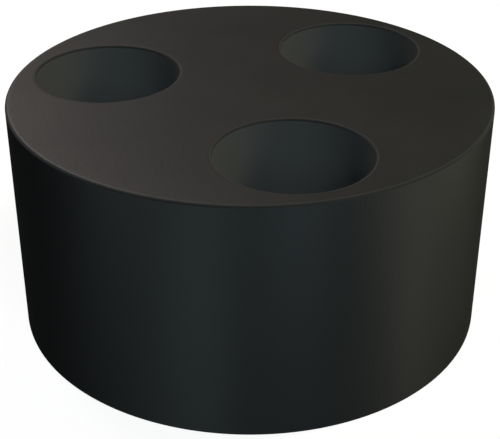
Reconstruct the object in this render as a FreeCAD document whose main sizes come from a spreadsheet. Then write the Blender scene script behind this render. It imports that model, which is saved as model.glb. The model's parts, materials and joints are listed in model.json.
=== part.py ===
import FreeCAD, Part
import math
import os

import Sketcher

# A sealing insert for a cable gland: one round block of moulded rubber with a
# ring of straight through holes, one for each cable. The origin is the centre
# of the base face, and +Z runs up the axis to the face that the cables enter.

# Driving dimensions, in millimetres apart from the count.
SIZES = {
    "body_diameter": 19.8,
    "body_height": 10.0,
    "hole_diameter": 6.0,
    "hole_count": 3,
    # thinnest rubber between a hole and the flank, which places the holes
    "outer_wall": 0.7,
    # rounding of the moulded edges: the two rims, and the mouths of the holes
    "rim_radius": 0.1,
    "mouth_radius": 0.1,
}

# Distance from the axis to the centre of each hole.
HOLE_CIRCLE = "sizes.body_diameter / 2 - sizes.outer_wall - sizes.hole_diameter / 2"

# At both faces the outer wall has a rim round on one side and a mouth round on
# the other, so each round takes at most this share of the wall.
WALL_SHARE = 0.4

UP = FreeCAD.Vector(0, 0, 1)
FULL_TURN = 360
ON_AXIS_MM = 0.001


def make_sheet(doc):
    """The spreadsheet that holds the driving dimensions."""
    sheet = doc.addObject("Spreadsheet::Sheet", "sizes")
    for row, (alias, value) in enumerate(SIZES.items(), start=1):
        sheet.set(f"A{row}", alias)
        sheet.set(f"B{row}", str(value))
        sheet.setAlias(f"B{row}", alias)
    doc.recompute()


def origin_feature(body, role):
    """A plane or an axis of the body's own origin."""
    return next(f for f in body.Origin.OriginFeatures if f.Role == role)


def circle_sketch(body, name, diameter):
    """A sketch on the base plane of one circle, whose centre is left free."""
    sketch = body.newObject("Sketcher::SketchObject", name)
    sketch.AttachmentSupport = [(origin_feature(body, "XY_Plane"), "")]
    sketch.MapMode = "FlatFace"
    circle = sketch.addGeometry(Part.Circle(FreeCAD.Vector(0, 1, 0), UP, 1))
    size = sketch.addConstraint(Sketcher.Constraint("Diameter", circle, 2))
    sketch.renameConstraint(size, "diameter")
    sketch.setExpression("Constraints.diameter", diameter)
    return sketch, (circle, 3)


def moulded_block(body):
    """The plain round block, standing on the base plane."""
    outline, centre = circle_sketch(body, "block_outline", "sizes.body_diameter")
    outline.addConstraint(Sketcher.Constraint("Coincident", *centre, -1, 1))
    block = body.newObject("PartDesign::Pad", "moulded_block")
    block.Profile = outline
    block.setExpression("Length", "sizes.body_height")
    return block


def cable_hole(body):
    """The first hole, cut down from the top face, with its centre on +Y."""
    outline, centre = circle_sketch(body, "hole_outline", "sizes.hole_diameter")
    outline.setExpression("AttachmentOffset.Base.z", "sizes.body_height")
    outline.addConstraint(Sketcher.Constraint("PointOnObject", *centre, -2))
    place = outline.addConstraint(Sketcher.Constraint("DistanceY", -1, 1, *centre, 1))
    outline.renameConstraint(place, "from_axis")
    outline.setExpression("Constraints.from_axis", HOLE_CIRCLE)
    hole = body.newObject("PartDesign::Pocket", "cable_hole")
    hole.Profile = outline
    hole.Type = "ThroughAll"
    return hole


def hole_ring(body, hole):
    """The hole repeated evenly round the axis, once for each cable."""
    ring = body.newObject("PartDesign::PolarPattern", "hole_ring")
    ring.Originals = [hole]
    ring.Axis = (origin_feature(body, "Z_Axis"), [""])
    ring.Angle = FULL_TURN
    ring.setExpression("Occurrences", "sizes.hole_count")
    body.Tip = ring
    return ring


def circles_of(shape, round_axis):
    """Names of the shape's closed circles that are centred on the axis, or off it."""
    names = []
    for number, edge in enumerate(shape.Edges, start=1):
        if not isinstance(edge.Curve, Part.Circle) or not edge.isClosed():
            continue
        centre = edge.Curve.Center
        if (math.hypot(centre.x, centre.y) < ON_AXIS_MM) == round_axis:
            names.append(f"Edge{number}")
    return names


def edge_round(body, base, name, radius, round_axis):
    """A round on the rims, or on the mouths of the holes, of the shape so far."""
    body.Document.recompute()
    fillet = body.newObject("PartDesign::Fillet", name)
    fillet.Base = (base, circles_of(base.Shape, round_axis))
    fillet.setExpression("Radius", f"min({radius}; {WALL_SHARE} * sizes.outer_wall)")
    body.Tip = fillet
    return fillet


def sealing_insert(doc):
    """The whole insert, which leaves the mould as one piece."""
    body = doc.addObject("PartDesign::Body", "sealing_insert")
    body.Label = "sealing_insert"
    moulded_block(body)
    ring = hole_ring(body, cable_hole(body))
    rims = edge_round(body, ring, "rim_round", "sizes.rim_radius", True)
    edge_round(body, rims, "mouth_round", "sizes.mouth_radius", False)
    body.Placement = FreeCAD.Placement()
    return body


def check(doc, parts):
    """Stops with a message if a feature failed or a part is no sound solid."""
    for item in doc.Objects:
        if {"Invalid", "Error"} & set(item.State):
            raise RuntimeError(f"{item.Name} failed: {item.State}")
    for part in parts:
        if part.Shape.isNull() or not part.Shape.isValid():
            raise RuntimeError(f"{part.Label} has no valid shape")


def main():
    doc = FreeCAD.newDocument("gland_insert")
    make_sheet(doc)
    parts = [sealing_insert(doc)]
    doc.recompute()
    check(doc, parts)
    os.makedirs("parts", exist_ok=True)
    for part in parts:
        part.Shape.exportStep(os.path.join("parts", f"{part.Label}.step"))
        print(f"{part.Label}: {part.Shape.Volume:.2f} mm3")


main()
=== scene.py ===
import json
import math

import bpy
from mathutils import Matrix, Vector


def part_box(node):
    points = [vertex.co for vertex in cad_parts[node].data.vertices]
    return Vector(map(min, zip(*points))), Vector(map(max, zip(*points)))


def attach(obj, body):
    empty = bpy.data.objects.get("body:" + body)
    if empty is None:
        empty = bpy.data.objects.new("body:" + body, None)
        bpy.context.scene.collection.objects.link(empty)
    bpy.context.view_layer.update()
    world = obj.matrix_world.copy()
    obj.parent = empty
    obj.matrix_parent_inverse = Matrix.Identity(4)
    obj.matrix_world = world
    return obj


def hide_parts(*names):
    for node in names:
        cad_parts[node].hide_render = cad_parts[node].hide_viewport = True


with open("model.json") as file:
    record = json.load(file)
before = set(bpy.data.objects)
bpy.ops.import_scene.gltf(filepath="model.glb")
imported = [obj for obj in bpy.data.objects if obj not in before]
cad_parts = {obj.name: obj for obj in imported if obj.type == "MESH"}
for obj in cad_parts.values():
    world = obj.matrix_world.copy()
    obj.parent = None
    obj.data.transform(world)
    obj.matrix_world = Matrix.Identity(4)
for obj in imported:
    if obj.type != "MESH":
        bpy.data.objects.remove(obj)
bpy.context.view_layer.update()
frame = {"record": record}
mm = 0.001
scene = bpy.context.scene
print("frame loaded")


def addNode(tree, kind, inputs=None, **settings):
    # an input takes a value, a socket, a node's first output, or a list of these
    node = tree.nodes.new(kind)
    for name, value in settings.items():
        setattr(node, name, value)
    for name, value in (inputs or {}).items():
        for source in value if isinstance(value, list) else [value]:
            if isinstance(source, bpy.types.Node):
                source = source.outputs[0]
            if isinstance(source, bpy.types.NodeSocket):
                tree.links.new(source, node.inputs[name])
            else:
                node.inputs[name].default_value = source
    return node


def fromHex(colour):
    # sRGB hex to the linear colour that the nodes work in
    parts = [int(colour[i:i + 2], 16) / 255 for i in (1, 3, 5)]
    return (*(p / 12.92 if p <= 0.04045 else ((p + 0.055) / 1.055) ** 2.4 for p in parts), 1)


white = fromHex("#ffffff")
# a Mix node's colour sockets share their names with its number sockets, so they go by index
colourA, colourB, colourOut = 6, 7, 2


def onSphere(azimuth, elevation, distance):
    # azimuth 0 is on -Y and 90 on +X, as the camera's own angles are counted
    turn, rise = math.radians(azimuth), math.radians(elevation)
    flat = distance * math.cos(rise)
    return Vector((flat * math.sin(turn), -flat * math.cos(turn), distance * math.sin(rise)))


def aimAt(thing, place, target):
    thing.location = place
    thing.rotation_euler = (target - place).to_track_quat("-Z", "Y").to_euler()


# the photograph's view: close to the insert, a little long in the lens
camera = {
    "azimuth": 45,
    "elevation": 30.07,
    "distance": 51.27 * mm,
    "lookHeight": 3.76 * mm,
    "lens": 84.55,
    "shiftX": 0.0003,
    "nearest": 1 * mm,
}
cameraData = bpy.data.cameras.new("camera")
cameraData.lens = camera["lens"]
cameraData.shift_x = camera["shiftX"]
cameraData.clip_start = camera["nearest"]
cameraObject = bpy.data.objects.new("camera", cameraData)
scene.collection.objects.link(cameraObject)
lookAt = Vector((0, 0, camera["lookHeight"]))
cameraPlace = lookAt + onSphere(camera["azimuth"], camera["elevation"], camera["distance"])
aimAt(cameraObject, cameraPlace, lookAt)
scene.camera = cameraObject
print("camera placed")


# nitrile rubber, pressed in a spark-eroded steel mould: a black that is a little grey, a
# soft sheen at a flat angle, and a grain almost too fine to see. Tumbling takes the flash
# off the edges and leaves their rounds dull. Painted light: the hole walls are a paler
# black. Painted shade: the edge rounds are a deeper black, which damps their highlight
rubber = {
    "dark": "#151515",
    "light": "#181817",
    # painted light: the hole walls take this paler black in place of light that their depth keeps out
    "bloom": "#3f3f3f",
    "paintedEdgeShade": "#0c0c0c",  # painted shade: the edge rounds take this deeper black, which damps the highlight along them
    "cloud": 4 * mm,       # width of the faint clouds in the black
    "cloudDetail": 3,
    "cloudRoughness": 0.6,
    "ior": 1.52,
    "roughness": (0.41, 0.47),
    "edgeRoughness": 1.0,
    "grain": 0.12 * mm,    # the real grain is about 0.03 mm, drawn coarser so that it shows
    "grainDepth": 0.004 * mm,
    "grainDetail": 2,
}


def makeRubber():
    material = bpy.data.materials.new("mouldedNitrileRubber")
    material.use_nodes = True
    tree = material.node_tree
    shader = tree.nodes["Principled BSDF"]
    shader.inputs["IOR"].default_value = rubber["ior"]
    place = addNode(tree, "ShaderNodeTexCoord").outputs["Object"]
    clouds = addNode(tree, "ShaderNodeTexNoise", {
        "Vector": place, "Scale": 1 / rubber["cloud"],
        "Detail": rubber["cloudDetail"], "Roughness": rubber["cloudRoughness"]})
    tone = addNode(tree, "ShaderNodeMix", {
        "Factor": clouds.outputs["Fac"],
        colourA: fromHex(rubber["dark"]), colourB: fromHex(rubber["light"])}, data_type="RGBA")
    # painted light: where the attribute marks the hole walls, they are painted the paler black
    bloom = addNode(tree, "ShaderNodeAttribute", attribute_name="bloom")
    toneWithPaintedLight = addNode(tree, "ShaderNodeMix", {
        "Factor": bloom.outputs["Fac"],
        colourA: tone.outputs[colourOut], colourB: fromHex(rubber["bloom"])}, data_type="RGBA")
    # painted shade: the edge rounds are painted a deeper black, and the same mark dulls them
    edge = addNode(tree, "ShaderNodeAttribute", attribute_name="edge")
    paintedEdgeShade = addNode(tree, "ShaderNodeMix", {
        "Factor": edge.outputs["Fac"],
        colourA: toneWithPaintedLight.outputs[colourOut], colourB: fromHex(rubber["paintedEdgeShade"])}, data_type="RGBA")
    tree.links.new(paintedEdgeShade.outputs[colourOut], shader.inputs["Base Color"])
    smoothest, roughest = rubber["roughness"]
    polish = addNode(tree, "ShaderNodeMapRange", {
        "Value": clouds.outputs["Fac"], "To Min": smoothest, "To Max": roughest})
    dulled = addNode(tree, "ShaderNodeMix", {
        "Factor": edge.outputs["Fac"], "A": polish, "B": rubber["edgeRoughness"]})
    tree.links.new(dulled.outputs[0], shader.inputs["Roughness"])
    grain = addNode(tree, "ShaderNodeTexNoise", {
        "Vector": place, "Scale": 1 / rubber["grain"], "Detail": rubber["grainDetail"]})
    relief = addNode(tree, "ShaderNodeBump", {
        "Height": grain.outputs["Fac"], "Strength": 1.0, "Distance": rubber["grainDepth"]})
    tree.links.new(relief.outputs["Normal"], shader.inputs["Normal"])
    return material


# the insert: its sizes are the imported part's own, and these are how finely it is drawn
insert = {
    "node": "sealing_insert",
    "flankSegments": 256,
    "holeSegments": 128,
    "roundSegments": 6,
    "lipRounds": 2.0,      # how far a lip reaches, in edge rounds: half of it stays flat
    "weld": 0.0005 * mm,
    # a normal's tilt, 0 on a wall and 1 on a face: the finish, the painted light and the painted shade
    # change between these two
    "wallToRound": (0.1, 0.25),
    "roundToFace": (0.97, 0.99),
    "wallWeight": 50,      # the tall walls outweigh their rounds, so they don't shade like a barrel
}


def insertSizes():
    low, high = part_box(insert["node"])
    mounts = frame["record"]["mounts"]
    seat = next(m for m in mounts if m["kind"] == "pin")
    holes = [m for m in mounts if m["kind"] == "bore"]
    first = Vector(holes[0]["pos_m"][:2])
    height = high.z - low.z
    return {
        "Block Radius": seat["dims"]["r_mm"] * mm,
        "Height": height,
        "Hole Radius": holes[0]["dims"]["r_mm"] * mm,
        "Hole Circle": first.length,
        "Hole Count": len(holes),
        "First Angle": math.atan2(first.y, first.x),
        "Edge Round": (height - holes[0]["dims"]["length_mm"] * mm) / 2,
        "Flank Segments": insert["flankSegments"],
        "Hole Segments": insert["holeSegments"],
        "Round Segments": insert["roundSegments"],
    }


def insertTree(sizes):
    tree = bpy.data.node_groups.new("glandInsert", "GeometryNodeTree")
    for name, value in sizes.items():
        kind = "NodeSocketInt" if isinstance(value, int) else "NodeSocketFloat"
        tree.interface.new_socket(name, in_out="INPUT", socket_type=kind)
    tree.interface.new_socket("Material", in_out="INPUT", socket_type="NodeSocketMaterial")
    tree.interface.new_socket("Geometry", in_out="OUTPUT", socket_type="NodeSocketGeometry")
    size = addNode(tree, "NodeGroupInput").outputs

    # each wall has a flat lip at both ends, to weld to the faces
    depth = addNode(tree, "ShaderNodeMath", {0: size["Height"], 1: -1.0}, operation="MULTIPLY")
    lip = addNode(tree, "ShaderNodeMath", {
        0: size["Edge Round"], 1: insert["lipRounds"]}, operation="MULTIPLY")
    lipInward = addNode(tree, "ShaderNodeMath", {0: lip, 1: -1.0}, operation="MULTIPLY")

    def sweepWall(radius, segments, lipReach):
        # the section that goes round the rim: a lip, a round, the wall, a round and a lip
        section = addNode(tree, "GeometryNodeCurvePrimitiveQuadrilateral", {
            "Point 1": addNode(tree, "ShaderNodeCombineXYZ", {"X": lipReach, "Y": depth}),
            "Point 2": addNode(tree, "ShaderNodeCombineXYZ", {"Y": depth}),
            "Point 3": (0, 0, 0),
            "Point 4": addNode(tree, "ShaderNodeCombineXYZ", {"X": lipReach})}, mode="POINTS")
        opened = addNode(tree, "GeometryNodeSetSplineCyclic", {0: section})
        rounded = addNode(tree, "GeometryNodeFilletCurve", {
            "Curve": opened, "Count": size["Round Segments"], "Radius": size["Edge Round"]}, mode="POLY")
        rim = addNode(tree, "GeometryNodeCurvePrimitiveCircle", {"Radius": radius, "Resolution": segments})
        return addNode(tree, "GeometryNodeCurveToMesh", {"Curve": rim, "Profile Curve": rounded})

    flank = sweepWall(size["Block Radius"], size["Flank Segments"], lipInward)
    hole = addNode(tree, "GeometryNodeFlipFaces", {
        0: sweepWall(size["Hole Radius"], size["Hole Segments"], lip)})

    # painted light: the upright hole wall is marked for a paler black, which fades out over the round at
    # each mouth
    normal = addNode(tree, "ShaderNodeSeparateXYZ", {0: addNode(tree, "GeometryNodeInputNormal")})
    lying = addNode(tree, "ShaderNodeMath", {0: normal.outputs["Z"]}, operation="ABSOLUTE")
    wallEnd, roundStart = insert["wallToRound"]
    upright = addNode(tree, "ShaderNodeMapRange", {
        "Value": lying, "From Min": roundStart, "From Max": wallEnd})
    holeWithPaintedLight = addNode(tree, "GeometryNodeStoreNamedAttribute", {
        "Geometry": hole, "Name": "bloom", "Value": upright}, data_type="FLOAT", domain="POINT")

    # the holes stand on the points of a circle, and so do their mouths in the two faces
    turn = addNode(tree, "ShaderNodeCombineXYZ", {"Z": size["First Angle"]})
    ring = addNode(tree, "GeometryNodeCurvePrimitiveCircle", {
        "Radius": size["Hole Circle"], "Resolution": size["Hole Count"]})
    places = addNode(tree, "GeometryNodeTransform", {"Geometry": ring, "Rotation": turn})
    mouthRadius = addNode(tree, "ShaderNodeMath", {0: size["Hole Radius"], 1: lip}, operation="ADD")
    mouth = addNode(tree, "GeometryNodeCurvePrimitiveCircle", {
        "Radius": mouthRadius, "Resolution": size["Hole Segments"]})
    holes, mouths = [addNode(tree, "GeometryNodeInstanceOnPoints", {
        "Points": places, "Instance": thing}) for thing in (holeWithPaintedLight, mouth)]

    faceRadius = addNode(tree, "ShaderNodeMath", {0: size["Block Radius"], 1: lipInward}, operation="ADD")
    faceRim = addNode(tree, "GeometryNodeCurvePrimitiveCircle", {
        "Radius": faceRadius, "Resolution": size["Flank Segments"]})
    outlines = addNode(tree, "GeometryNodeJoinGeometry", {0: [faceRim, mouths]})
    loose = addNode(tree, "GeometryNodeRealizeInstances", {0: outlines})
    face = addNode(tree, "GeometryNodeFillCurve", {"Curve": loose}, mode="TRIANGLES")
    up = addNode(tree, "ShaderNodeCombineXYZ", {"Z": size["Height"]})
    entryFace = addNode(tree, "GeometryNodeTransform", {"Geometry": face, "Translation": up})
    baseFace = addNode(tree, "GeometryNodeFlipFaces", {0: face})

    shell = addNode(tree, "GeometryNodeJoinGeometry", {0: [flank, holes, entryFace, baseFace]})
    whole = addNode(tree, "GeometryNodeRealizeInstances", {0: shell})
    welded = addNode(tree, "GeometryNodeMergeByDistance", {"Geometry": whole, "Distance": insert["weld"]})

    # the edge is full over each round, and none on the upright walls and the flat faces: it dulls the
    # rounds and marks their painted shade
    roundEnd, faceStart = insert["roundToFace"]
    offWall = addNode(tree, "ShaderNodeMapRange", {
        "Value": lying, "From Min": wallEnd, "From Max": roundStart})
    offFace = addNode(tree, "ShaderNodeMapRange", {
        "Value": lying, "From Min": faceStart, "From Max": roundEnd})
    edge = addNode(tree, "ShaderNodeMath", {0: offWall, 1: offFace}, operation="MULTIPLY")
    edged = addNode(tree, "GeometryNodeStoreNamedAttribute", {
        "Geometry": welded, "Name": "edge", "Value": edge}, data_type="FLOAT", domain="POINT")
    smooth = addNode(tree, "GeometryNodeSetShadeSmooth", {0: edged})
    painted = addNode(tree, "GeometryNodeSetMaterial", {"Geometry": smooth, "Material": size["Material"]})
    addNode(tree, "NodeGroupOutput", {"Geometry": painted})
    return tree


def makeInsert(material):
    sizes = insertSizes()
    piece = bpy.data.objects.new("glandInsert", bpy.data.meshes.new("glandInsert"))
    scene.collection.objects.link(piece)
    modifier = piece.modifiers.new("shape", "NODES")
    modifier.node_group = insertTree(sizes)
    for item in modifier.node_group.interface.items_tree:
        if item.in_out == "INPUT":
            modifier[item.identifier] = sizes.get(item.name, material)
    evaluated = piece.evaluated_get(bpy.context.evaluated_depsgraph_get())
    shape = bpy.data.meshes.new_from_object(evaluated)
    piece.modifiers.clear()
    shape.materials.pop(index=0)  # the tree leaves an empty slot before the rubber
    piece.data = shape
    piece.modifiers.new("evenNormals", "WEIGHTED_NORMAL").weight = insert["wallWeight"]
    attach(piece, "root")
    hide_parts(insert["node"])
    return piece


glandInsert = makeInsert(makeRubber())
print("insert made:", len(glandInsert.data.polygons), "faces")

# a light table of opal acrylic, close to white: its own glow washes out nearly every
# shadow, and the low lamps shine up through it
floor = {
    "halfWidth": 0.7,
    "drop": 0.01 * mm,     # below the base face, so that the two never share a plane
    "colour": "#5c5c5c",
    "glow": 0.9,
}


def makeFloor():
    reach, level = floor["halfWidth"], -floor["drop"]
    corners = [(x * reach, y * reach, level) for x, y in ((-1, -1), (1, -1), (1, 1), (-1, 1))]
    mesh = bpy.data.meshes.new("floor")
    mesh.from_pydata(corners, [], [(0, 1, 2, 3)])
    plane = bpy.data.objects.new("floor", mesh)
    scene.collection.objects.link(plane)
    # the table itself doesn't light the insert: its glow would grey the black flank
    plane.visible_diffuse = False
    plane.visible_glossy = False
    plane.visible_shadow = False
    material = bpy.data.materials.new("opalAcrylic")
    material.use_nodes = True
    tree = material.node_tree
    shader = tree.nodes["Principled BSDF"]
    shader.inputs["Base Color"].default_value = fromHex(floor["colour"])
    shader.inputs["Roughness"].default_value = 1.0
    shader.inputs["Specular IOR Level"].default_value = 0.0
    shader.inputs["Emission Color"].default_value = white
    shader.inputs["Emission Strength"].default_value = floor["glow"]
    # seen from below it is clear, so that the base face can be looked at
    side = addNode(tree, "ShaderNodeNewGeometry").outputs["Backfacing"]
    clear = addNode(tree, "ShaderNodeBsdfTransparent")
    mixed = addNode(tree, "ShaderNodeMixShader", {0: side, 1: shader, 2: clear})
    tree.links.new(mixed.outputs[0], tree.nodes["Material Output"].inputs["Surface"])
    mesh.materials.append(material)


makeFloor()
print("floor laid")


# soft studio lamps, each a round diffuser: its place counted from the camera, and its power
# in watts. The low ones stand under the table and show in the flank's sheen
lamps = {
    "warmRight": {"azimuth": 100, "elevation": 45, "power": 0.52, "colour": "#fffde0"},
    "frontHigh": {"azimuth": 20, "elevation": 45, "power": 0.33, "colour": "#ecfcff"},
    "frontLeft": {"azimuth": -20, "elevation": 25, "power": 0.09, "colour": "#d4f8ff"},
    "backLeft": {"azimuth": -140, "elevation": 45, "power": 0.39, "colour": "#fff2f0"},
    "lowRight": {"azimuth": 100, "elevation": -12, "power": 0.044, "colour": "#ffffe4"},
    "lowerRight": {"azimuth": 80, "elevation": -28, "power": 0.016, "colour": "#fffae8"},
    "lowFrontRight": {"azimuth": 60, "elevation": -12, "power": 0.032, "colour": "#fafff0"},
    "lowFront": {"azimuth": 20, "elevation": -12, "power": 0.06, "colour": "#dcf4ff"},
    "lowerFront": {"azimuth": -20, "elevation": -28, "power": 0.025, "colour": "#e0f8ff"},
    "lowerLeft": {"azimuth": -40, "elevation": -28, "power": 0.01, "colour": "#e0fcff"},
    "lowLeft": {"azimuth": -60, "elevation": -12, "power": 0.03, "colour": "#f0f8ff"},
    "lowBack": {"azimuth": 180, "elevation": -28, "power": 0.08, "colour": "#ffffff"},
}
studio = {
    "lampDistance": 250 * mm,
    "lampWidth": 88 * mm,  # no lamp reaches through the table top
    "aimHeight": 6 * mm,
    "ambient": 0.004,
}


def makeLamps():
    target = Vector((0, 0, studio["aimHeight"]))
    for name, lamp in lamps.items():
        light = bpy.data.lights.new(name, "AREA")
        light.shape = "DISK"
        light.size = studio["lampWidth"]
        light.energy = lamp["power"]
        light.color = fromHex(lamp["colour"])[:3]
        holder = bpy.data.objects.new(name, light)
        scene.collection.objects.link(holder)
        holder.visible_camera = False
        around = camera["azimuth"] + lamp["azimuth"]
        aimAt(holder, target + onSphere(around, lamp["elevation"], studio["lampDistance"]), target)


def makeWorld():
    # the camera sees a backdrop as bright as the table, and the insert only a dim room
    world = bpy.data.worlds.new("studio")
    world.use_nodes = True
    tree = world.node_tree
    room = tree.nodes["Background"]
    room.inputs["Color"].default_value = white
    room.inputs["Strength"].default_value = studio["ambient"]
    backdrop = addNode(tree, "ShaderNodeBackground", {"Color": white, "Strength": floor["glow"]})
    seen = addNode(tree, "ShaderNodeLightPath").outputs["Is Camera Ray"]
    mixed = addNode(tree, "ShaderNodeMixShader", {0: seen, 1: room, 2: backdrop})
    tree.links.new(mixed.outputs[0], tree.nodes["World Output"].inputs["Surface"])
    scene.world = world
    scene.view_settings.view_transform = "Standard"


makeLamps()
makeWorld()
print("lamps lit")
